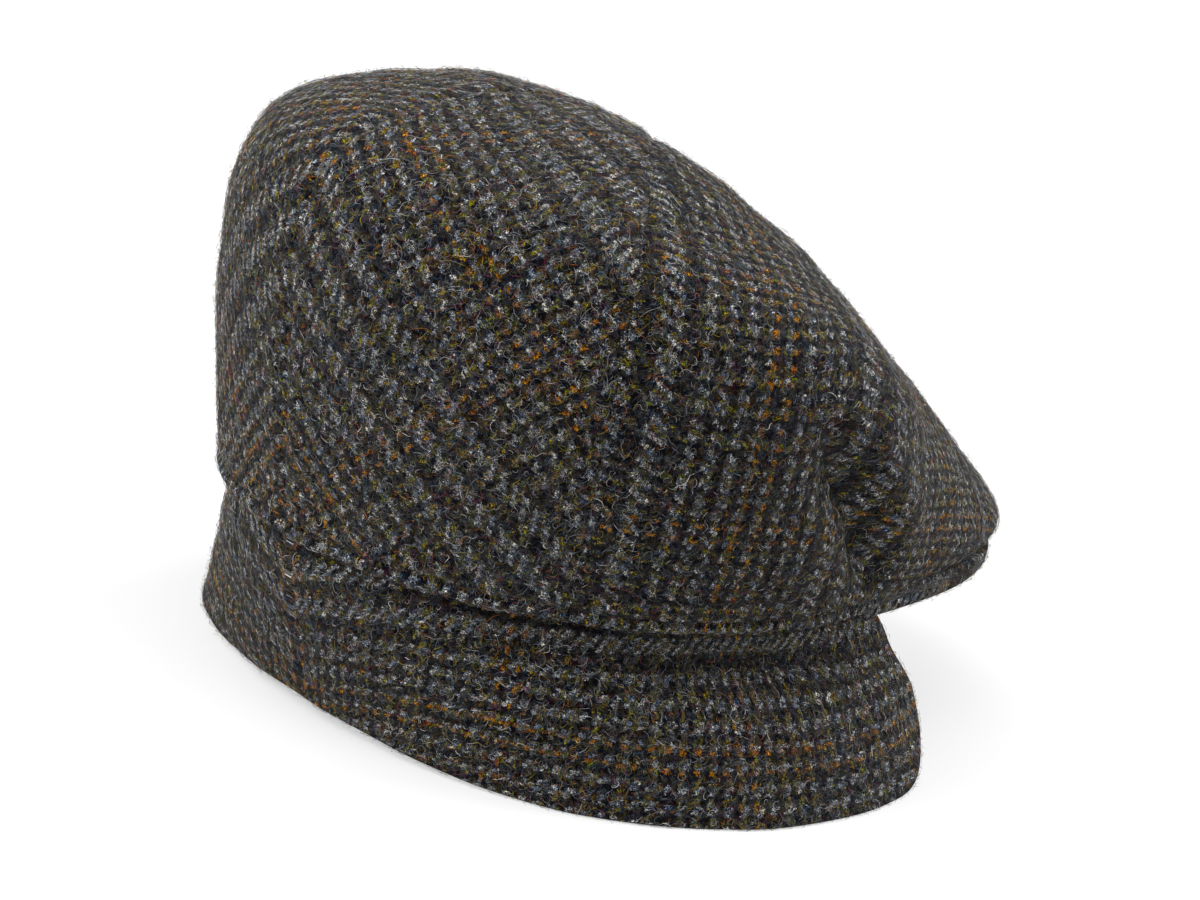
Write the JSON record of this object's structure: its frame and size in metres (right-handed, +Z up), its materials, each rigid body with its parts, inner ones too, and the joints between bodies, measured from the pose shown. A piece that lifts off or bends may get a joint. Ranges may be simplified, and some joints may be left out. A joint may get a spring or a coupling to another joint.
{
  "type": "earflap tweed cap",
  "caption": "Flat cap in dark grey check tweed with a panelled crown puffed over a short peak and a wrap-around ear and neck flap turned down; worn on the head for warmth.",
  "frame": {"origin": "middle of the cap's outline seen from above, at the level of the flap's lower edge that it stands on", "axes": "+Z up, -Y to the front of the cap, -X to the wearer's right"},
  "size_m": [0.204, 0.2521, 0.167],
  "materials": {
    "crown_front": "fuzzy check wool tweed, dark grey with olive, mustard and rust flecks",
    "crown_back_right": "fuzzy check wool tweed on the bias, dark grey with olive, mustard and rust flecks",
    "crown_back_left": "fuzzy check wool tweed on the bias, dark grey with olive, mustard and rust flecks",
    "peak": "fuzzy check wool tweed over a stiffener",
    "earflap": "fuzzy check wool tweed, doubled"
  },
  "bodies": {
    "root": {"crown_front": "crown_front", "crown_back_right": "crown_back_right", "crown_back_left": "crown_back_left", "peak": "peak", "earflap": "earflap"}
  },
  "joints": []
}
